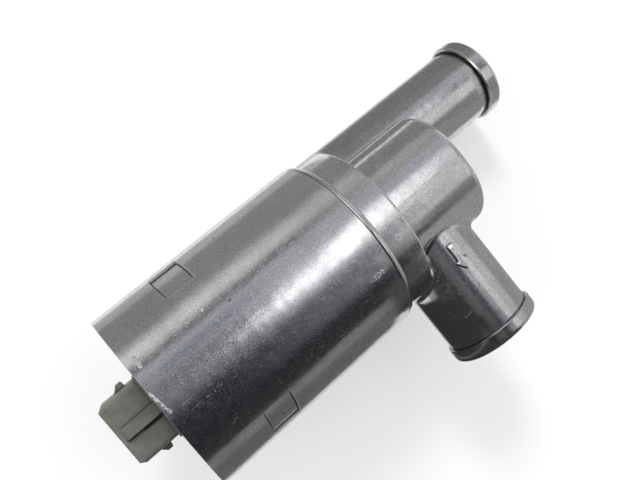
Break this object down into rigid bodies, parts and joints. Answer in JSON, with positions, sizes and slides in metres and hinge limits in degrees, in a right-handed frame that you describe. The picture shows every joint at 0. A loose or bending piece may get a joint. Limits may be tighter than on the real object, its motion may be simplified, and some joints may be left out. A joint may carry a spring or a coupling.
{
  "type": "idle air control valve",
  "caption": "Rotary idle air control valve: cast aluminium can with a stepped nose, a beaded end hose stub, a square side hose stub and a plug connector at the rear.",
  "frame": {"origin": "centre of the can's rear rim, on the can axis", "axes": "+X along the can axis from the rear rim to the nose and the end stub; the side stub leaves along -Y; +Z is square to both, up in the pictured position"},
  "size_m": [0.1305, 0.0634, 0.0503],
  "materials": {
    "cast_aluminium": "satin die-cast, smoothed, with scratches and smudges",
    "grey_plastic": "matte moulded grey-green",
    "dark_plastic": "matte moulded",
    "tinned_brass": "bright tinned",
    "carbon": "matte pressed carbon",
    "seal_rubber": "matte",
    "bush_bronze": "sintered",
    "steel": "ground",
    "spring_steel": "tempered",
    "pole_steel": "plain",
    "ferrite": "matte sintered",
    "copper": "enamelled wire and bare copper"
  },
  "bodies": {
    "valve_body": {"housing": "cast_aluminium", "bearing_plate": "cast_aluminium", "end_cap": "grey_plastic", "terminal_a": "tinned_brass", "terminal_b": "tinned_brass", "brush_a": "carbon", "brush_b": "carbon", "cap_seal": "seal_rubber", "shaft_seal": "seal_rubber", "rear_bush": "bush_bronze", "front_bush": "bush_bronze", "stop_pin": "steel", "spring_post": "steel", "return_spring": "spring_steel", "magnet_clips": "spring_steel", "pole_tube": "pole_steel", "magnet_a": "ferrite", "magnet_b": "ferrite"},
    "rotor": {"shaft": "steel", "armature_core": "pole_steel", "coil_a": "copper", "coil_b": "copper", "thrust_washers": "steel", "slip_hub": "dark_plastic", "slip_segments": "copper", "spring_collet": "steel", "rotary_slide": "cast_aluminium", "circlip": "spring_steel"}
  },
  "joints": [
    {"name": "slide_turn", "type": "hinge", "parent": "valve_body", "child": "rotor", "pos_m": [0.03, 0, 0], "axis": [1, 0, 0], "range_deg": [0, 70], "stiffness_Nm_per_rad": 0.01, "springref_deg": -22.92, "deforming": ["return_spring"]}
  ]
}
